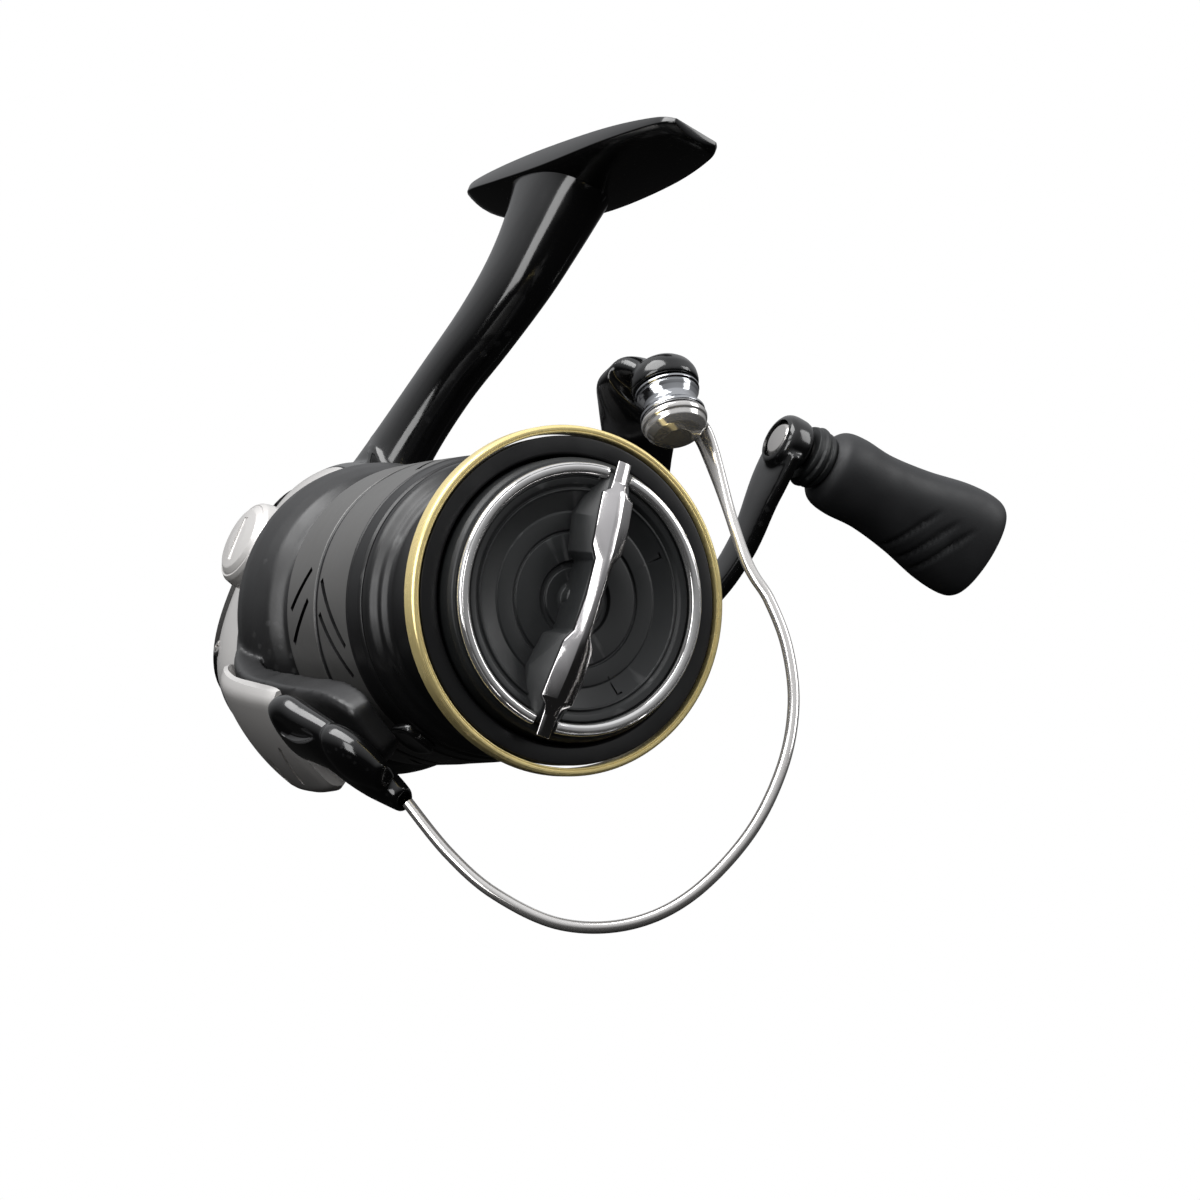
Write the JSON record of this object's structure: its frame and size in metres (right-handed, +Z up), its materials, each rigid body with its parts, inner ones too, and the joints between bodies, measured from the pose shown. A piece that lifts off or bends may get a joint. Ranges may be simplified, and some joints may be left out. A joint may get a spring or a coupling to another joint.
{
  "type": "spinning fishing reel",
  "caption": "Fixed spool fishing reel with a foot and stem, geared crank handle, rotor with folding bail and line roller, front drag knob and oscillating spool.",
  "frame": {"origin": "middle of the rod seat on top of the foot", "axes": "+Z up toward the rod, spool facing -Y, handle on +X, metres"},
  "size_m": [0.1116, 0.1193, 0.1147],
  "materials": {
    "gloss_black": "gloss",
    "matte_black": "matte",
    "black_plastic": "satin",
    "grey_satin": "satin anodised",
    "silver_satin": "satin",
    "gold": "diamond cut, gold anodised",
    "steel": "brushed",
    "polished": "polished",
    "brass": "machined",
    "rubber": "matte",
    "felt": "pressed felt"
  },
  "bodies": {
    "frame": {"body_frame": "gloss_black", "side_cover": "silver_satin", "rear_guard": "gloss_black", "cover_screw_1": "steel", "cover_screw_2": "steel", "cover_screw_3": "steel", "cover_screw_4": "steel", "bearing_handle_side": "steel", "bearing_cap_side": "steel", "pinion_bearing": "steel", "one_way_clutch": "steel", "friction_ring": "rubber", "guide_rod": "steel"},
    "crank": {"drive_shaft": "brass", "drive_gear": "brass", "handle_shank": "gloss_black", "handle_arm": "gloss_black", "handle_cap": "silver_satin", "knob_shaft": "steel"},
    "knob": {"handle_knob": "rubber", "knob_collar": "black_plastic", "knob_bearing_inner": "steel", "knob_bush_outer": "steel"},
    "rotor": {"rotor": "matte_black", "rotor_nut": "brass", "pinion_gear": "brass", "clutch_sleeve": "steel", "cam_arm_cover": "silver_satin", "lever_arm_cover": "gloss_black", "bail_spring": "steel", "bail_pivot_lever": "steel", "bail_pivot_cam": "steel"},
    "bail": {"bail_cam": "gloss_black", "bail_lever": "gloss_black", "bail_wire": "steel", "roller_screw": "steel", "roller_bush": "steel"},
    "roller": {"line_roller": "polished"},
    "worm": {"worm_shaft": "steel", "worm_gear": "brass"},
    "shaft": {"main_shaft": "steel", "oscillation_slider": "steel", "worm_pawl": "brass", "spool_hub": "brass"},
    "spool": {"spool": "matte_black", "spool_lip_ring": "gold", "spool_skirt": "grey_satin", "line_clip": "gloss_black", "drag_washer_felt_1": "felt", "drag_washer_felt_2": "felt", "drag_washer_steel_1": "steel", "drag_washer_steel_2": "steel", "drag_retainer": "steel", "click_ratchet": "black_plastic"},
    "drag_knob": {"drag_knob": "black_plastic", "knob_plate": "polished", "knob_ring_a": "polished", "knob_ring_b": "polished", "knob_spring": "steel", "knob_nut": "brass"}
  },
  "joints": [
    {"name": "crank_turn", "type": "hinge", "parent": "frame", "child": "crank", "pos_m": [0, 0.0265, -0.0688], "axis": [1, 0, 0], "continuous": true},
    {"name": "knob_spin", "type": "hinge", "parent": "crank", "child": "knob", "pos_m": [0.067, 0.00211, -0.02175], "axis": [1, 0, 0], "continuous": true},
    {"name": "rotor_turn", "type": "hinge", "parent": "frame", "child": "rotor", "pos_m": [0, 0.0035, -0.074], "axis": [0, -1, 0], "continuous": true},
    {"name": "bail_fold", "type": "hinge", "parent": "rotor", "child": "bail", "pos_m": [0, -0.027, -0.074], "axis": [-0.4695, 0, -0.8829], "range_deg": [0, 100]},
    {"name": "roller_spin", "type": "hinge", "parent": "bail", "child": "roller", "pos_m": [0.00673, -0.043, -0.04111], "axis": [-0.3079, 0.4992, 0.8099], "continuous": true},
    {"name": "worm_turn", "type": "hinge", "parent": "frame", "child": "worm", "pos_m": [0.0016, 0.03, -0.062], "axis": [0, -1, 0], "continuous": true},
    {"name": "spool_stroke", "type": "slide", "parent": "frame", "child": "shaft", "axis": [0, -1, 0], "range_m": [-0.0041, 0.0097]},
    {"name": "drag_slip", "type": "hinge", "parent": "shaft", "child": "spool", "pos_m": [0, -0.04, -0.074], "axis": [0, -1, 0], "continuous": true},
    {"name": "drag_knob_turn", "type": "hinge", "parent": "shaft", "child": "drag_knob", "pos_m": [0, -0.05, -0.074], "axis": [0, -1, 0], "range_deg": [-360, 360]}
  ],
  "couplings": [
    {"joint": "rotor_turn", "follows": "crank_turn", "ratio": 5},
    {"joint": "worm_turn", "follows": "crank_turn", "ratio": -1.875}
  ]
}
